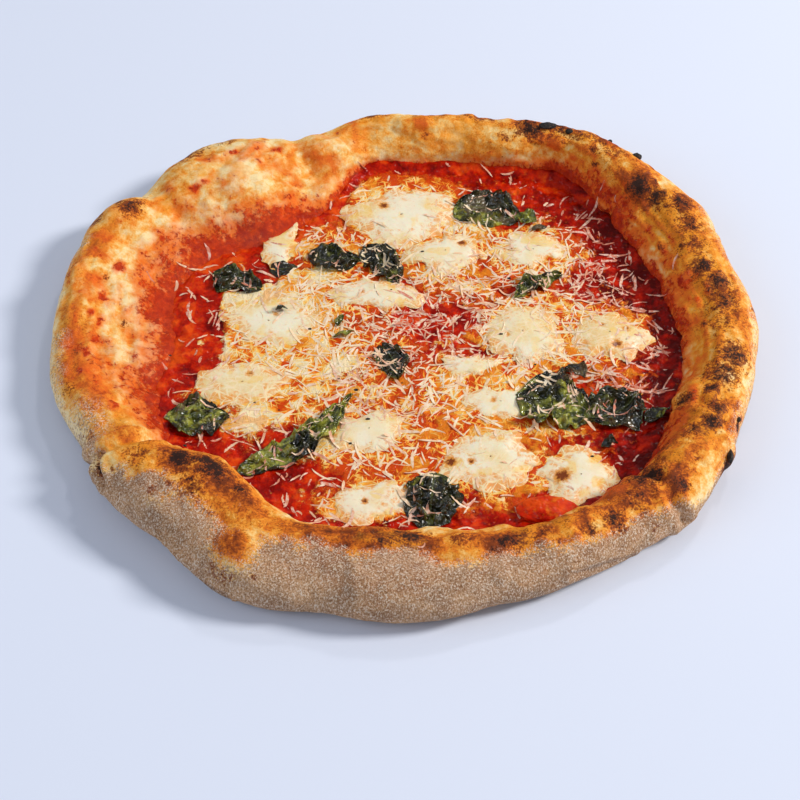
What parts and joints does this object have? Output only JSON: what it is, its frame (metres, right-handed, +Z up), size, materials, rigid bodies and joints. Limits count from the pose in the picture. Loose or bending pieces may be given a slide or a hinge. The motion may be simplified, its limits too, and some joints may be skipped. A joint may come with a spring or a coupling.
{
  "type": "margherita pizza",
  "caption": "Round baked pizza with a puffed charred rim, tomato sauce, melted mozzarella, shredded hard cheese and wilted basil leaves.",
  "frame": {"origin": "middle of the flat underside, at the centre of the pizza's outline", "axes": "+Z up through the toppings, +X along the pizza's longest width, -Y towards the side of the rim with the broad floury outer wall"},
  "size_m": [0.3253, 0.305, 0.0305],
  "materials": {
    "crust": "baked bread dough, golden brown with floury and charred patches",
    "tomato_sauce": "cooked tomato sauce, moist, with melted cheese and oil on it",
    "mozzarella": "melted mozzarella, satin, with browned spots",
    "tomato": "cooked tomato flesh, moist",
    "basil": "wilted basil leaf, dark and oily",
    "shredded_cheese": "dry shreds of hard cheese",
    "charred_bits": "burnt dough blisters and dried herb specks"
  },
  "bodies": {
    "root": {"crust": "crust", "tomato_sauce": "tomato_sauce", "mozzarella_01": "mozzarella", "mozzarella_02": "mozzarella", "mozzarella_03": "mozzarella", "mozzarella_04": "mozzarella", "mozzarella_05": "mozzarella", "mozzarella_06": "mozzarella", "mozzarella_07": "mozzarella", "mozzarella_08": "mozzarella", "mozzarella_09": "mozzarella", "mozzarella_10": "mozzarella", "mozzarella_11": "mozzarella", "mozzarella_12": "mozzarella", "mozzarella_13": "mozzarella", "mozzarella_14": "mozzarella", "mozzarella_15": "mozzarella", "tomato_piece": "tomato", "basil_01": "basil", "basil_02": "basil", "basil_03": "basil", "basil_04": "basil", "basil_05": "basil", "basil_06": "basil", "basil_07": "basil", "basil_08": "basil", "basil_09": "basil", "basil_10": "basil", "basil_11": "basil", "basil_12": "basil"}
  },
  "joints": []
}
